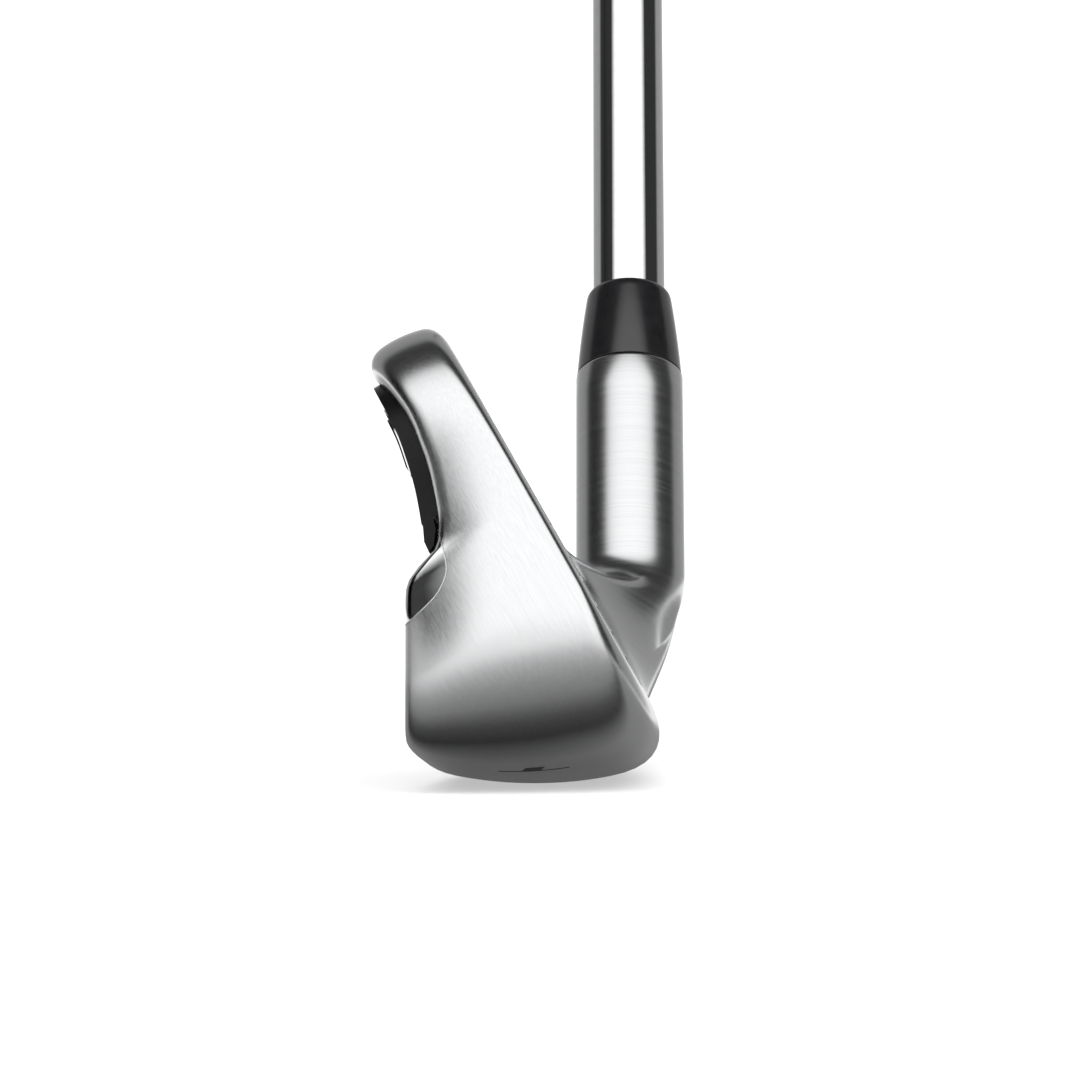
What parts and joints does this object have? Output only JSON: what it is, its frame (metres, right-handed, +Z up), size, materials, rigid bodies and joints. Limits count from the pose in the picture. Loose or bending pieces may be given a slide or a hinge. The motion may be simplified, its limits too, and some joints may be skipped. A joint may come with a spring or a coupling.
{
  "type": "iron golf club",
  "caption": "Right-handed cavity-back iron with a lofted steel head, black badge, polished muscle plate, ferrule, stepped steel shaft and rubber grip.",
  "frame": {"origin": "centre of the small flat patch under the sole, where the club rests on the ground at address", "axes": "+X from heel to toe, +Y towards the target on the striking side, +Z up"},
  "size_m": [0.5258, 0.0434, 0.8391],
  "materials": {
    "satin_steel": "satin brushed nickel chrome",
    "face_steel": "blasted, milled scorelines",
    "polished_steel": "mirror polished",
    "shaft_chrome": "mirror chrome",
    "tungsten": "as sintered",
    "brass": "turned",
    "badge_black": "gloss black",
    "ferrule_black": "gloss black",
    "polymer": "moulded",
    "foam": "closed-cell foam tape",
    "epoxy": "cured epoxy",
    "paper_tape": "creped paper",
    "grip_rubber": "textured",
    "cap_rubber": "moulded satin"
  },
  "bodies": {
    "root": {"head_body": "satin_steel", "face_plate": "face_steel", "damping_insert": "polymer", "toe_weight": "tungsten", "badge_tape": "foam", "badge_carrier": "badge_black", "badge_inlay": "polished_steel", "muscle_plate": "polished_steel", "muscle_bond": "epoxy", "ferrule": "ferrule_black", "hosel_bond": "epoxy", "tip_plug": "brass", "shaft": "shaft_chrome", "grip_tape": "paper_tape", "grip_sleeve": "grip_rubber", "grip_cap": "cap_rubber"}
  },
  "joints": []
}
